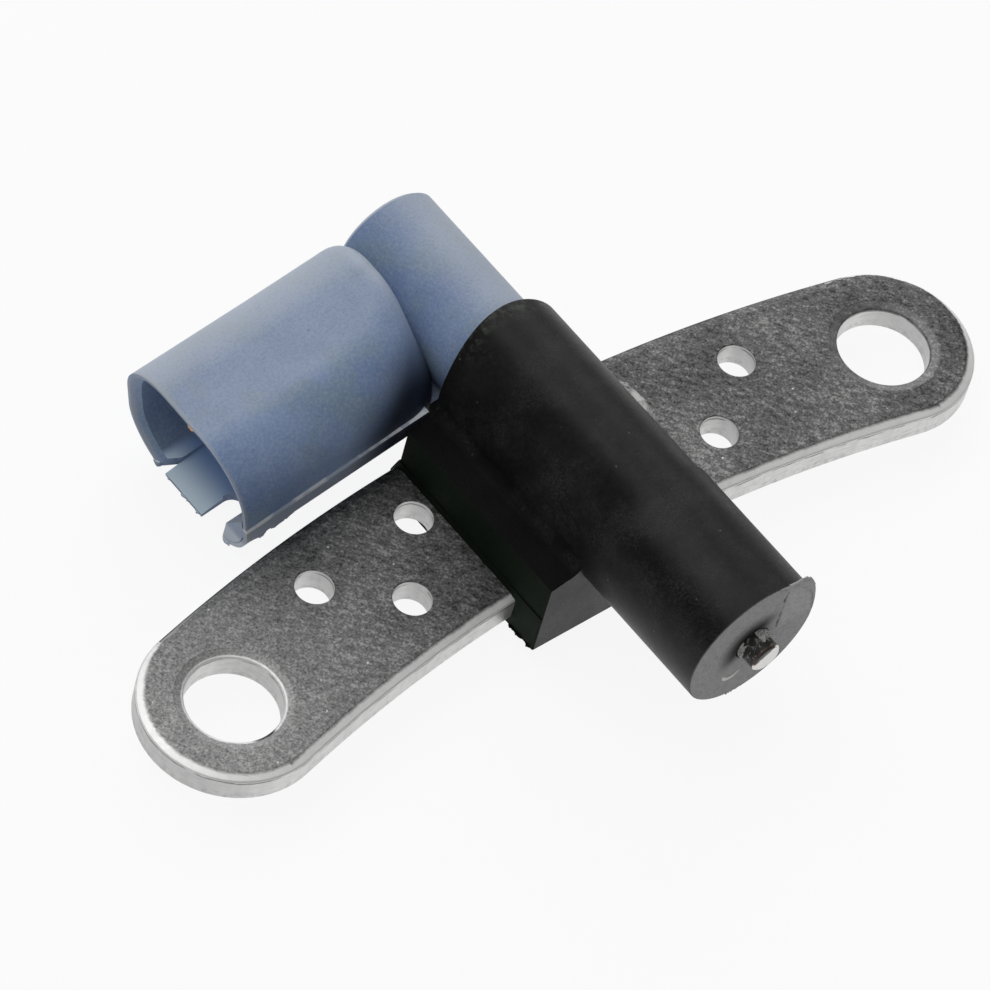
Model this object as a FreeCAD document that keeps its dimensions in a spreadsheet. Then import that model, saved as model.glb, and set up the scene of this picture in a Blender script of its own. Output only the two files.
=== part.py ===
"""Crankshaft position sensor: a stamped two-hole bracket with an inductive sensor moulded through it.

Millimetres, +Z up. Z = 0 is the mounting face, the bracket's flat underside. The origin lies midway
between the two bolt holes, X runs from one bolt hole to the other, and the nose points along -Y.
The nose and the rear cylinder share one axis, parallel to Y. The connector socket leaves that axis
sideways, along -X, and dips towards the bracket by its pitch angle.
"""

import FreeCAD, Part
import math
import os
import re

import Sketcher

Vector = FreeCAD.Vector

SIZES = {
    # Bracket: a curved strap of constant width with full-round ends about its bolt holes
    "hole_spacing": 88.0,
    "strap_width": 20.0,
    "strap_sag": 5.0,
    "plate_thickness": 3.0,
    "bolt_hole_radius": 5.1,
    "edge_roll_width": 1.1,
    "edge_roll_depth": 0.3,
    "edge_roll_rounding": 0.25,
    # Small locating holes, as mirrored pairs
    "small_hole_radius": 2.1,
    "small_hole_roll": 0.12,
    "outer_hole_x": 28.6,
    "outer_hole_y": 6.7,
    "middle_hole_x": 20.8,
    "middle_hole_y": 0.3,
    "inner_hole_x": 14.3,
    "inner_hole_y": 8.35,
    # Black moulding: nose and barrel about the sensor axis
    "axis_height": 12.4,
    "nose_radius": 8.1,
    "nose_reach": 26.6,
    "nose_edge": 0.1,
    "barrel_radius": 7.88,
    "barrel_reach": 18.0,
    "rim_waist": 14.77,
    "rim_waist_height": 13.0,
    "rim_curve": 18.5,
    # Black moulding: clamp block around the bracket
    "block_half_width": 11.5,
    "block_front": 9.3,
    "block_rear": 14.4,
    "block_drop": 1.3,
    "block_side_height": 8.8,
    "block_crown_height": 9.3,
    "root_fillet": 1.5,
    "seam_height": 3.85,
    "seam_step": 0.15,
    "hem_reach": 15.4,
    "hem_slope_drop": 2.6,
    "block_corner": 0.25,
    # Blue moulding: cylinder on the sensor axis
    "spigot_radius": 6.3,
    "spigot_front": 4.0,
    "housing_reach": 34.3,
    "housing_edge": 0.4,
    # Blue moulding: connector socket, measured along its own axis from the sensor axis
    "socket_pitch": 12.5,
    "socket_centre": 25.05,
    "socket_back": 5.6,
    "socket_mouth": 32.4,
    "socket_half_width": 10.05,
    "socket_half_height": 8.7,
    "socket_corner": 7.0,
    "socket_draft": 0.15,
    "back_rounding": 2.3,
    "back_tightening": 1.5,
    "dome_run_out": 1.2,
    "near_rounding_low": 5.5,
    "near_rounding_high": 9.8,
    "socket_wall": 1.3,
    "socket_depth": 18.0,
    "lead_in": 0.85,
    # Blue moulding: latch tongue, its two slots, inner key and outer rail
    "tongue_offset": 1.0,
    "tongue_width": 6.2,
    "tongue_tip": 0.35,
    "tongue_ramp": 7.5,
    "far_slot_width": 1.2,
    "far_slot_length": 2.2,
    "near_slot_width": 3.7,
    "near_slot_length": 4.2,
    "near_slot_corner": 1.4,
    "key_length": 8.0,
    "key_lean": 0.8,
    "key_shoulder": 1.9,
    "key_top": 2.2,
    "rail_stand_out": 0.15,
    "rail_drop": 0.7,
    "rail_height": 2.1,
    "rail_start": 9.0,
    # Blue moulding: web that stiffens the neck between cylinder and socket
    "web_near": 16.3,
    "web_far": 21.0,
    "web_drop": 2.4,
    "web_thickness": 3.0,
    # Magnetic core
    "pin_radius": 1.75,
    "pin_stand_out": 2.3,
    "pin_chamfer": 0.2,
    "pin_well_radius": 2.1,
    "pin_well_depth": 0.5,
    "magnet_radius": 3.0,
    "magnet_length": 8.0,
    "yoke_thickness": 1.2,
    # Bobbin and coil
    "nose_wall": 2.2,
    "core_radius": 5.6,
    "flange_thickness": 1.2,
    "tube_radius": 2.7,
    "winding_length": 16.0,
    "tape_thickness": 0.3,
    "pole_overlap": 1.2,
    # Terminals and coil ends
    "terminal_spacing": 6.0,
    "terminal_width": 1.2,
    "terminal_thickness": 0.8,
    "terminal_run_offset": 4.2,
    "terminal_root": 6.0,
    "terminal_setback": 2.6,
    "terminal_point": 0.3,
    "coil_end_radius": 0.3,
}

# Places along the sensor axis that several pieces share, as formulas of the sizes above
PLACES = {
    "strap_radius": "((hole_spacing / 2)^2 + strap_sag^2) / (2 * strap_sag)",
    "strap_centre_y": "strap_sag - strap_radius",
    "nose_tip": "-nose_reach",
    "bobbin_front": "nose_tip + nose_wall",
    "winding_front": "bobbin_front + flange_thickness",
    "winding_rear": "winding_front + winding_length",
    "pole_end": "winding_rear + pole_overlap",
    "magnet_end": "pole_end + magnet_length",
    "yoke_end": "magnet_end + yoke_thickness",
    "terminal_start": "spigot_front - terminal_root",
    "terminal_tip": "socket_mouth - terminal_setback",
    "winding_radius": "core_radius - tape_thickness",
    "near_side": "socket_centre - socket_half_width",
    "corner_across": "near_side + socket_corner",
    "corner_up": "socket_corner - socket_half_height",
    "tongue_near": "socket_centre + tongue_offset - tongue_width / 2",
    "tongue_far": "tongue_near + tongue_width",
}

SHEET = "Sizes"
NAMES = re.compile(r"\b(" + "|".join(sorted([*SIZES, *PLACES], key=len, reverse=True)) + r")\b")


def make_sheet(doc):
    """Driving sizes as numbers in one column, shared places as formulas below them."""
    sheet = doc.addObject("Spreadsheet::Sheet", SHEET)
    row = 1
    for alias, value in SIZES.items():
        sheet.set(f"A{row}", alias)
        sheet.set(f"B{row}", str(value))
        sheet.setAlias(f"B{row}", alias)
        row += 1
    for alias, formula in PLACES.items():
        sheet.set(f"A{row}", alias)
        sheet.set(f"B{row}", f"={formula}")
        sheet.setAlias(f"B{row}", alias)
        row += 1
    doc.recompute()
    return sheet


def bound(expression):
    """The expression with each size's name led back to the sheet."""
    return NAMES.sub(rf"{SHEET}.\1", str(expression))


def value(sheet, expression):
    return float(sheet.evalExpression(str(expression)))


def origin_plane(body, role):
    return next(item for item in body.Origin.OriginFeatures if item.Role == role)


def new_body(doc, name, height=None, pitch=None):
    """A body at the row's origin, or on the sensor axis and, for the blue side, turned by the pitch."""
    body = doc.addObject("PartDesign::Body", name)
    if pitch:
        body.Placement = FreeCAD.Placement(Vector(0, 0, 0), FreeCAD.Rotation(Vector(0, -1, 0), 1.0))
        body.setExpression("Placement.Rotation.Angle", bound(pitch))
    if height:
        body.setExpression("Placement.Base.z", bound(height))
    return body


def new_sketch(body, name, role, offset=None):
    """A sketch on one of the body's own planes, moved along that plane's normal by the offset."""
    sketch = body.newObject("Sketcher::SketchObject", name)
    sketch.AttachmentSupport = [(origin_plane(body, role), "")]
    sketch.MapMode = "FlatFace"
    if offset:
        sketch.setExpression("AttachmentOffset.Base.z", bound(offset))
    return sketch


def pin_down(sheet, sketch, geometry, point, place, letters="xy"):
    """Ties the named coordinates of a sketch point to expressions of the sheet."""
    for letter, kind, expression in (("x", "DistanceX", place[0]), ("y", "DistanceY", place[1])):
        if letter not in letters:
            continue
        size = value(sheet, expression)
        index = sketch.addConstraint(Sketcher.Constraint(kind, -1, 1, geometry, point, size))
        label = f"{letter}_{geometry}_{point}"
        sketch.renameConstraint(index, label)
        sketch.setExpression(f"Constraints.{label}", bound(expression))


def add_circle(sheet, sketch, centre, radius):
    size = value(sheet, radius)
    index = sketch.addGeometry(Part.Circle(spot(sheet, centre), Vector(0, 0, 1), size), False)
    pin_down(sheet, sketch, index, 3, centre)
    label = f"radius_{index}"
    number = sketch.addConstraint(Sketcher.Constraint("Radius", index, size))
    sketch.renameConstraint(number, label)
    sketch.setExpression(f"Constraints.{label}", bound(radius))


def add_outline(sheet, sketch, corners):
    """A closed outline. A corner is (x, y) before a straight edge, or (x, y, centre, turn) before an
    arc about the centre, with turn 1 for anticlockwise and -1 for clockwise."""
    points = [spot(sheet, corner) for corner in corners]
    first = sketch.GeometryCount
    ends = []
    for number, corner in enumerate(corners):
        start, end = points[number], points[(number + 1) % len(points)]
        if len(corner) == 2:
            sketch.addGeometry(Part.LineSegment(start, end), False)
            ends.append((1, 2))
            continue
        centre = spot(sheet, corner[2])
        anticlockwise = corner[3] > 0
        low, high = (start, end) if anticlockwise else (end, start)
        circle = Part.Circle(centre, Vector(0, 0, 1), (start - centre).Length)
        span = (heading(low - centre), heading(high - centre))
        sketch.addGeometry(Part.ArcOfCircle(circle, *span), False)
        ends.append((1, 2) if anticlockwise else (2, 1))
    for number, corner in enumerate(corners):
        after = (number + 1) % len(corners)
        joint = (first + number, ends[number][1], first + after, ends[after][0])
        sketch.addConstraint(Sketcher.Constraint("Coincident", *joint))
        pin_down(sheet, sketch, first + number, ends[number][0], corner)
        if len(corner) > 2:
            chord = points[after] - points[number]
            letter = "x" if abs(chord.y) >= abs(chord.x) else "y"
            pin_down(sheet, sketch, first + number, 3, corner[2], letter)


def spot(sheet, place):
    return Vector(value(sheet, place[0]), value(sheet, place[1]), 0)


def heading(vector):
    return math.atan2(vector.y, vector.x)


def rectangle(x_low, x_high, y_low, y_high):
    return [(x_low, y_low), (x_high, y_low), (x_high, y_high), (x_low, y_high)]


def rounded_rectangle(x_low, x_high, y_low, y_high, radius):
    """Anticlockwise from the left end of the lower side, with an arc at each corner."""
    left, right = f"{x_low} + {radius}", f"{x_high} - {radius}"
    low, high = f"{y_low} + {radius}", f"{y_high} - {radius}"
    return [
        (left, y_low),
        (right, y_low, (right, low), 1),
        (x_high, low),
        (x_high, high, (right, high), 1),
        (right, y_high),
        (left, y_high, (left, high), 1),
        (x_low, high),
        (x_low, low, (left, low), 1),
    ]


def pad(body, name, sketch, length, reverse=False):
    feature = body.newObject("PartDesign::Pad", name)
    feature.Profile = sketch
    feature.setExpression("Length", bound(length))
    feature.Reversed = reverse
    return feature


def pocket(body, name, sketch, length, reverse=False, both_ways=False):
    feature = body.newObject("PartDesign::Pocket", name)
    feature.Profile = sketch
    feature.setExpression("Length", bound(length))
    feature.Reversed = reverse
    feature.Midplane = both_ways
    return feature


def turned(body, name, sheet, corners, kind="Revolution"):
    """A full turn about the sensor axis of an outline given as (radius, place along the axis)."""
    sketch = new_sketch(body, f"{name}_profile", "XY_Plane")
    add_outline(sheet, sketch, corners)
    feature = body.newObject(f"PartDesign::{kind}", name)
    feature.Profile = sketch
    feature.ReferenceAxis = (sketch, ["V_Axis"])
    feature.Angle = 360.0
    return feature


def edges_where(feature, test):
    return [f"Edge{i + 1}" for i, edge in enumerate(feature.Shape.Edges) if test(edge)]


def soften(doc, body, name, base, test, size, kind="Fillet"):
    """Rounds or chamfers the edges of the base feature that pass the test."""
    doc.recompute()
    feature = body.newObject(f"PartDesign::{kind}", name)
    feature.Base = (base, edges_where(base, test))
    feature.setExpression("Radius" if kind == "Fillet" else "Size", bound(size))
    return feature


def lies_at(edge, axis, place, slack=1e-4):
    """Whether the whole edge lies in the plane at that place on an axis, 0 to 2 for X to Z."""
    box = edge.BoundBox
    low, high = ((box.XMin, box.XMax), (box.YMin, box.YMax), (box.ZMin, box.ZMax))[axis]
    return abs(low - place) < slack and abs(high - place) < slack


def cut(doc, label, base, tools):
    """The base less each tool, as one object with the label."""
    result = base
    for number, tool in enumerate(tools, 1):
        step = doc.addObject("Part::Cut", f"{label}_less_{number}")
        step.Base = result
        step.Tool = tool
        result = step
    result.Label = label
    return result


def bracket_plate(doc, sheet):
    """Strap blanked from sheet: two concentric edges, round ends, holes, and a rolled upper edge."""
    body = new_body(doc, "bracket_plate")
    outline = new_sketch(body, "strap_outline", "XY_Plane")
    half, reach = "hole_spacing / 2", "strap_width / 2"
    lean_x = f"{half} / strap_radius * {reach}"
    lean_y = f"(0 - strap_centre_y) / strap_radius * {reach}"
    middle = ("0", "strap_centre_y")
    add_outline(
        sheet,
        outline,
        [
            (f"-({half}) - {lean_x}", lean_y, (f"-({half})", "0"), 1),
            (f"-({half}) + {lean_x}", f"-({lean_y})", middle, -1),
            (f"{half} - {lean_x}", f"-({lean_y})", (half, "0"), 1),
            (f"{half} + {lean_x}", lean_y, middle, 1),
        ],
    )
    strap = pad(body, "strap", outline, "plate_thickness")
    holes = new_sketch(body, "hole_places", "XY_Plane", "plate_thickness")
    for side in ("-1", "1"):
        add_circle(sheet, holes, (f"{side} * {half}", "0"), "bolt_hole_radius")
        for name in ("outer", "middle", "inner"):
            place = (f"{side} * {name}_hole_x", f"{name}_hole_y")
            add_circle(sheet, holes, place, "small_hole_radius")
    punched = pocket(body, "holes", holes, "plate_thickness + 1")
    top, small = value(sheet, "plate_thickness"), value(sheet, "small_hole_radius")

    def on_top(edge):
        return lies_at(edge, 2, top)

    def about_small_hole(edge):
        return on_top(edge) and abs(edge.Curve.Radius - small) < 1e-4

    def about_outline(edge):
        return on_top(edge) and not about_small_hole(edge)

    def below_roll(edge):
        return lies_at(edge, 2, value(sheet, "plate_thickness - edge_roll_depth"))

    small_rolls = soften(doc, body, "small_rolls", punched, about_small_hole, "small_hole_roll")
    roll = soften(doc, body, "roll", small_rolls, about_outline, "edge_roll_width", kind="Chamfer")
    roll.ChamferType = "Two distances"
    roll.setExpression("Size2", bound("edge_roll_depth"))
    soften(doc, body, "roll_rounding", roll, below_roll, "edge_roll_rounding")
    return body


def sensor_moulding(doc, sheet):
    """Black moulding before the bracket is taken out of it: nose, barrel, clamp block and bore."""
    body = new_body(doc, "sensor_moulding", height="axis_height")
    turned(
        body,
        "barrel",
        sheet,
        [
            ("0", "nose_tip"),
            ("nose_radius - nose_edge", "nose_tip"),
            ("nose_radius", "nose_tip + nose_edge"),
            ("nose_radius", "-block_front"),
            ("barrel_radius", "-block_front"),
            ("barrel_radius", "barrel_reach"),
            ("0", "barrel_reach"),
        ],
    )
    block = new_sketch(body, "block_section", "XZ_Plane", "block_front")
    side, crown = "block_side_height - axis_height", "block_crown_height - axis_height"
    seam = "seam_height - axis_height"
    reach = "(barrel_radius + root_fillet)"
    rise = f"({crown} + root_fillet)"
    run = f"sqrt({reach}^2 - {rise}^2)"
    share = f"barrel_radius / {reach}"
    add_outline(
        sheet,
        block,
        [
            ("-block_half_width", seam),
            ("block_half_width", seam),
            ("block_half_width", side),
            (run, crown, (run, rise), -1),
            (f"{run} * {share}", f"{rise} * {share}"),
            (f"-{run} * {share}", f"{rise} * {share}", (f"-{run}", rise), -1),
            (f"-{run}", crown),
            ("-block_half_width", side),
        ],
    )
    pad(body, "upper_block", block, "block_front + block_rear", reverse=True)
    hem = new_sketch(body, "hem_outline", "XY_Plane", "-axis_height - block_drop")
    wide = "block_half_width + seam_step"
    add_outline(
        sheet,
        hem,
        rounded_rectangle(f"-({wide})", wide, "-block_front", "hem_reach", "block_corner"),
    )
    pad(body, "lower_block", hem, "block_drop + seam_height")
    slope = new_sketch(body, "hem_slope_outline", "YZ_Plane")
    foot = f"{seam} - hem_slope_drop"
    add_outline(
        sheet,
        slope,
        [
            ("block_rear + seam_step", seam),
            ("hem_reach", foot),
            ("hem_reach + 1", foot),
            ("hem_reach + 1", seam),
        ],
    )
    pocket(body, "hem_slope", slope, "4 * block_half_width", both_ways=True)
    rim = new_sketch(body, "rim_sweep", "YZ_Plane")
    centre = ("rim_waist + rim_curve", "rim_waist_height - axis_height")
    add_circle(sheet, rim, centre, "rim_curve")
    pocket(body, "rim_curve_cut", rim, "4 * barrel_radius", both_ways=True)
    turned(
        body,
        "insert_bore",
        sheet,
        [
            ("0", "nose_tip - 1"),
            ("pin_well_radius", "nose_tip - 1"),
            ("pin_well_radius", "nose_tip + pin_well_depth"),
            ("pin_radius", "nose_tip + pin_well_depth"),
            ("pin_radius", "bobbin_front"),
            ("core_radius", "bobbin_front"),
            ("core_radius", "spigot_front"),
            ("spigot_radius", "spigot_front"),
            ("spigot_radius", "barrel_reach + 1"),
            ("0", "barrel_reach + 1"),
        ],
        kind="Groove",
    )
    return body


def socket_section(sheet, body, name, place, inset, near_insets=None, tightening="1"):
    """The socket's rounded section at a place along its axis, inset all round. Its near side can be
    inset more, by one amount at its lower corner and another at its upper corner. The corners' radius
    shrinks by the inset times the tightening."""
    near_low, near_high = near_insets or (inset, inset)
    sketch = new_sketch(body, name, "YZ_Plane", f"-({place})")
    radius = f"(socket_corner - {inset} * {tightening})"
    tall = f"(socket_half_height - {inset})"
    far = f"(socket_centre + socket_half_width - {inset})"
    low, high = f"({radius} - {tall})", f"({tall} - {radius})"
    centre_low = f"(near_side + {near_low} + {radius})"
    centre_high = f"(near_side + {near_high} + {radius})"
    centre_far = f"({far} - {radius})"
    lean, rise = f"({centre_high} - {centre_low})", f"({high} - {low})"
    across = f"{radius} * {rise} / sqrt({lean}^2 + {rise}^2)"
    up = f"{radius} * {lean} / sqrt({lean}^2 + {rise}^2)"
    add_outline(
        sheet,
        sketch,
        [
            (centre_low, f"-{tall}"),
            (centre_far, f"-{tall}", (centre_far, low), 1),
            (far, low),
            (far, high, (centre_far, high), 1),
            (centre_far, tall),
            (centre_high, tall, (centre_high, high), 1),
            (f"{centre_high} - {across}", f"{high} + {up}"),
            (f"{centre_low} - {across}", f"{low} + {up}", (centre_low, low), 1),
        ],
    )
    return sketch


def loft(body, name, sketches, kind="Additive", ruled=False):
    feature = body.newObject(f"PartDesign::{kind}Loft", name)
    feature.Profile = sketches[0]
    feature.Sections = sketches[1:]
    feature.Ruled = ruled
    return feature


def socket_tube(sheet, body):
    """The socket's outside: a domed back, rounder at its near side, then a drafted tube to the mouth."""
    steps = [
        (f"back_rounding * (1 - cos({turn}))", f"back_rounding * (1 - sin({turn}))")
        for turn in (0, 22.5, 45, 67.5, 90)
    ]
    steps += [
        (f"(back_rounding + (near_rounding_high - back_rounding) * {share})", "0")
        for share in (0.11, 0.24, 0.39, 0.57, 0.77, 1)
    ]
    steps += [(f"(near_rounding_high + dome_run_out * {share})", "0") for share in (1, 2)]
    sections = []
    for number, (depth, inset) in enumerate(steps):
        near = [
            f"({size} - sqrt({size}^2 - max({size} - {depth}; 0)^2) + socket_draft)"
            for size in ("near_rounding_low", "near_rounding_high")
        ]
        place = f"socket_back + {depth}"
        inset = f"({inset} + socket_draft)"
        name = f"dome_section_{number}"
        section = socket_section(sheet, body, name, place, inset, near, "back_tightening")
        sections.append(section)
    loft(body, "socket_dome", sections)
    mouth = socket_section(sheet, body, "mouth_section", "socket_mouth", "0")
    loft(body, "socket_tube", [sections[-1], mouth], ruled=True)


def socket_cavity(doc, sheet, body):
    """The plug's room inside the socket, with a lead-in at the mouth."""
    mouth = socket_section(sheet, body, "cavity_mouth", "socket_mouth", "socket_wall")
    place, inset = "socket_mouth - socket_depth", "(socket_wall + socket_draft)"
    floor = socket_section(sheet, body, "cavity_floor", place, inset)
    cavity = loft(body, "cavity", [mouth, floor], kind="Subtractive", ruled=True)
    mouth_x = -value(sheet, "socket_mouth")
    low, high = value(sheet, "-socket_half_height"), value(sheet, "socket_half_height")

    def inside_mouth(edge):
        box = edge.BoundBox
        clear = low + 0.1 < box.ZMin and box.ZMax < high - 0.1
        beside = value(sheet, "near_side") + 0.1 < box.YMin
        beyond = box.YMax < value(sheet, "socket_centre + socket_half_width") - 0.1
        return lies_at(edge, 0, mouth_x) and clear and beside and beyond

    soften(doc, body, "mouth_lead_in", cavity, inside_mouth, "lead_in", kind="Chamfer")


def latch_tongue(sheet, body):
    """Two slots in the socket's lower wall leave a tongue, which a ramp thins towards the mouth."""
    slots = new_sketch(body, "latch_slot_places", "XY_Plane")
    out, into = "-socket_mouth - 1", "near_slot_length - socket_mouth"
    near, turn, tip = "tongue_near - near_slot_width", "near_slot_corner", "far_slot_length - socket_mouth"
    add_outline(
        sheet,
        slots,
        [
            (out, near),
            (f"{into} - {turn}", near, (f"{into} - {turn}", f"{near} + {turn}"), 1),
            (into, f"{near} + {turn}"),
            (into, f"tongue_near - {turn}", (f"{into} - {turn}", f"tongue_near - {turn}"), 1),
            (f"{into} - {turn}", "tongue_near"),
            (out, "tongue_near"),
        ],
    )
    flare = "far_slot_width * (far_slot_length + 1) / far_slot_length"
    add_outline(
        sheet, slots, [(out, "tongue_far"), (tip, "tongue_far"), (out, f"tongue_far + {flare}")]
    )
    pocket(body, "latch_slots", slots, "2 * socket_half_height")
    ramp = new_sketch(body, "tongue_ramp_outline", "XZ_Plane", "-tongue_near")
    foot, top = "tongue_ramp - socket_mouth", "socket_wall - socket_half_height"
    add_outline(
        sheet,
        ramp,
        [
            (out, "tongue_tip - socket_half_height"),
            (foot, top),
            (foot, f"{top} + 1"),
            (out, f"{top} + 1"),
        ],
    )
    pocket(body, "tongue_ramp_cut", ramp, "tongue_width")


def key_and_rail(sheet, body):
    """The key that fills the socket's near lower corner inside, and the rail along it outside."""
    key = new_sketch(body, "key_section", "YZ_Plane", "-socket_mouth")
    reach = "(socket_corner - socket_wall / 2)"
    edge = "(tongue_near - near_slot_width)"
    add_outline(
        sheet,
        key,
        [
            (f"corner_across - {reach}", "corner_up", ("corner_across", "corner_up"), 1),
            (edge, f"corner_up - sqrt({reach}^2 - ({edge} - corner_across)^2)"),
            (f"{edge} - key_lean", "corner_up - key_shoulder"),
            (f"corner_across - {reach}", "corner_up + key_top"),
        ],
    )
    pad(body, "key", key, "key_length")
    rail = new_sketch(body, "rail_section", "YZ_Plane", "-rail_start")
    side = "near_side - rail_stand_out"
    inner = f"{side} + rail_stand_out + socket_draft + socket_wall / 2"
    add_outline(sheet, rail, rectangle(side, inner, "-rail_drop - rail_height", "-rail_drop"))
    pad(body, "rail", rail, "socket_mouth - rail_start", reverse=True)


def neck_web(sheet, body):
    """The flat web between the cylinder's flank and the socket's domed back."""
    web = new_sketch(body, "web_outline", "XY_Plane", "-web_drop - web_thickness")
    reach = "socket_back + near_rounding_high"
    inner = "sqrt(spigot_radius^2 - (web_drop + web_thickness)^2)"
    add_outline(sheet, web, rectangle(f"-({reach})", f"-({inner}) + 1", "web_near", "web_far"))
    pad(body, "neck_web", web, "web_thickness")


def housing_moulding(doc, sheet):
    """Blue moulding before the terminals are taken out of it: cylinder, socket, latch tongue, rail."""
    body = new_body(doc, "housing_moulding", "axis_height", "socket_pitch")
    socket_tube(sheet, body)
    turned(
        body,
        "cylinder",
        sheet,
        [
            ("0", "yoke_end"),
            ("magnet_radius", "yoke_end"),
            ("magnet_radius", "spigot_front"),
            ("spigot_radius", "spigot_front"),
            ("spigot_radius", "housing_reach - housing_edge"),
            ("spigot_radius - housing_edge", "housing_reach"),
            ("0", "housing_reach"),
        ],
    )
    neck_web(sheet, body)
    socket_cavity(doc, sheet, body)
    key_and_rail(sheet, body)
    latch_tongue(sheet, body)
    return body


def revolved_piece(doc, sheet, name, corners):
    body = new_body(doc, name, "axis_height", "socket_pitch")
    turned(body, f"{name}_turned", sheet, corners)
    return body


def terminal(doc, sheet, name, side):
    """Flat stamped terminal: a run beside the magnet and along the axis, then out into the socket."""
    body = new_body(doc, name, "axis_height", "socket_pitch")
    sketch = new_sketch(body, f"{name}_outline", "XY_Plane", "-terminal_thickness / 2")
    run = f"{side} * terminal_run_offset"
    blade = f"socket_centre + {side} * terminal_spacing / 2"
    half = "terminal_width / 2"
    add_outline(
        sheet,
        sketch,
        [
            (f"{run} - {half}", "terminal_start"),
            (f"{run} + {half}", "terminal_start"),
            (f"{run} + {half}", f"{blade} + {half}"),
            ("terminal_point - terminal_tip", f"{blade} + {half}"),
            ("-terminal_tip", f"{blade} + {half} - terminal_point"),
            ("-terminal_tip", f"{blade} - {half} + terminal_point"),
            ("terminal_point - terminal_tip", f"{blade} - {half}"),
            (f"{run} - {half}", f"{blade} - {half}"),
        ],
    )
    pad(body, f"{name}_blank", sketch, "terminal_thickness")
    return body


def coil_end(doc, sheet, name, side):
    """Straight end of the coil wire, from the winding's rear to the root of its terminal."""
    body = new_body(doc, name, "axis_height", "socket_pitch")
    sketch = new_sketch(body, f"{name}_section", "XZ_Plane", "-winding_rear")
    add_circle(sheet, sketch, (f"{side} * terminal_run_offset", "0"), "coil_end_radius")
    pad(body, f"{name}_wire", sketch, "terminal_start - winding_rear", reverse=True)
    return body


def check(doc, pieces):
    """Stops unless every object is up to date and every piece is a sound, non-empty solid."""
    for item in doc.Objects:
        if {"Invalid", "Error"} & set(item.State):
            raise RuntimeError(f"{item.Name} failed: {item.State}")
    for piece in pieces:
        shape = piece.Shape
        if shape.isNull() or not shape.isValid() or shape.Volume <= 0:
            raise RuntimeError(f"{piece.Label} has no sound solid")


def build():
    doc = FreeCAD.newDocument("crankshaft_position_sensor")
    sheet = make_sheet(doc)
    plate = bracket_plate(doc, sheet)
    terminals = [
        terminal(doc, sheet, "terminal_near", "-1"),
        terminal(doc, sheet, "terminal_far", "1"),
    ]
    coil_ends = [
        coil_end(doc, sheet, "coil_end_near", "-1"),
        coil_end(doc, sheet, "coil_end_far", "1"),
    ]
    core = [
        revolved_piece(
            doc,
            sheet,
            "pole_pin",
            [
                ("0", "nose_tip - pin_stand_out"),
                ("pin_radius - pin_chamfer", "nose_tip - pin_stand_out"),
                ("pin_radius", "nose_tip - pin_stand_out + pin_chamfer"),
                ("pin_radius", "pole_end"),
                ("0", "pole_end"),
            ],
        ),
        revolved_piece(
            doc, sheet, "magnet", rectangle("0", "magnet_radius", "pole_end", "magnet_end")
        ),
        revolved_piece(
            doc, sheet, "yoke_disc", rectangle("0", "magnet_radius", "magnet_end", "yoke_end")
        ),
        revolved_piece(
            doc,
            sheet,
            "coil_winding",
            rectangle("tube_radius", "winding_radius", "winding_front", "winding_rear"),
        ),
        revolved_piece(
            doc,
            sheet,
            "winding_tape",
            rectangle("winding_radius", "core_radius", "winding_front", "winding_rear"),
        ),
    ]
    bobbin = revolved_piece(
        doc,
        sheet,
        "bobbin_moulding",
        [
            ("pin_radius", "bobbin_front"),
            ("core_radius", "bobbin_front"),
            ("core_radius", "winding_front"),
            ("tube_radius", "winding_front"),
            ("tube_radius", "winding_rear"),
            ("core_radius", "winding_rear"),
            ("core_radius", "spigot_front"),
            ("magnet_radius", "spigot_front"),
            ("magnet_radius", "pole_end"),
            ("pin_radius", "pole_end"),
        ],
    )
    pieces = [
        plate,
        cut(doc, "sensor_body", sensor_moulding(doc, sheet), [plate]),
        cut(doc, "connector_housing", housing_moulding(doc, sheet), terminals),
        cut(doc, "coil_bobbin", bobbin, terminals + coil_ends),
        *terminals,
        *coil_ends,
        *core,
    ]
    doc.recompute()
    check(doc, pieces)
    os.makedirs("parts", exist_ok=True)
    for piece in pieces:
        piece.Shape.exportStep(os.path.join("parts", f"{piece.Label}.step"))
        box = piece.Shape.BoundBox
        print(
            f"{piece.Label}: {piece.Shape.Volume:.1f} mm3, {len(piece.Shape.Solids)} solid(s), "
            f"X {box.XMin:.2f} {box.XMax:.2f} Y {box.YMin:.2f} {box.YMax:.2f} "
            f"Z {box.ZMin:.2f} {box.ZMax:.2f}"
        )


build()
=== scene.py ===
"""Looks of a crankshaft position sensor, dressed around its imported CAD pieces.

Metres, +Z up, in the row's own frame. The bracket's flat underside lies at Z = 0, the bolt holes lie on X,
the nose points along -Y, and the plug socket leaves the rear cylinder along -X and dips by its pitch.
"""

import logging
import math
from collections.abc import Callable, Mapping, Sequence
from dataclasses import dataclass
from enum import Enum

import bmesh
import bpy
from mathutils import Matrix, Vector, noise


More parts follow.
